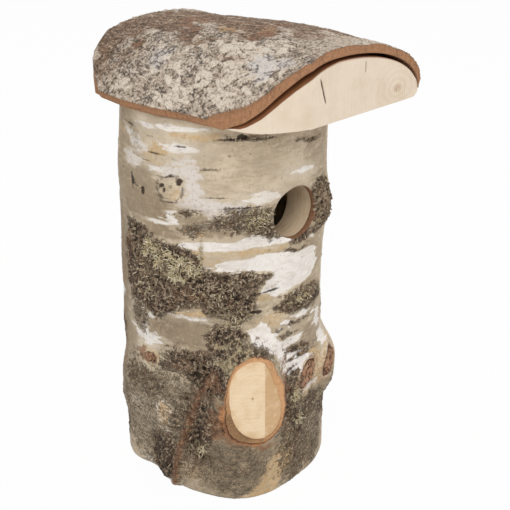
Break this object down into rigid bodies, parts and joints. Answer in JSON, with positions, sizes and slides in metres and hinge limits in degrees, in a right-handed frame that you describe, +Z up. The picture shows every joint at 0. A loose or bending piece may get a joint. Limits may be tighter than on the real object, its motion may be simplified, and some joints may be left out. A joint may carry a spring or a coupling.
{
  "type": "hollow log nest box",
  "caption": "Upright hollow birch log with a round entrance hole, a sawn branch stub and a half-round bark-covered roof slab.",
  "frame": {"origin": "centre of the log on its sawn base", "axes": "+Z up along the log, -Y out of the entrance hole, +X to the right of someone looking from behind the box"},
  "size_m": [0.143, 0.159, 0.2869],
  "materials": {
    "log_wood": "bare sawn birch, dry",
    "log_bark": "birch bark, cream and white over dark rough bands",
    "end_grain": "freshly sawn pale end grain",
    "bark_edge": "cut edge of inner bark, orange-brown",
    "knot_scar": "old knot wood, reddish brown",
    "roof_bark": "thick weathered bark, grey-brown with paler flakes"
  },
  "bodies": {
    "root": {"wood_front": "log_wood", "wood_front_left": "log_wood", "wood_left": "log_wood", "wood_back_left": "log_wood", "wood_back": "log_wood", "wood_back_right": "log_wood", "wood_right": "log_wood", "wood_front_right": "log_wood", "bark_front": "log_bark", "bark_front_left": "log_bark", "bark_left": "log_bark", "bark_back_left": "log_bark", "bark_back": "log_bark", "bark_back_right": "log_bark", "bark_right": "log_bark", "bark_front_right": "log_bark", "floor_disc": "log_wood", "branch_stub": "end_grain", "branch_bark": "bark_edge", "scar_inner": "knot_scar", "scar_outer": "knot_scar", "knot_left": "knot_scar", "roof_slab": "end_grain", "roof_bark": "roof_bark"}
  },
  "joints": []
}
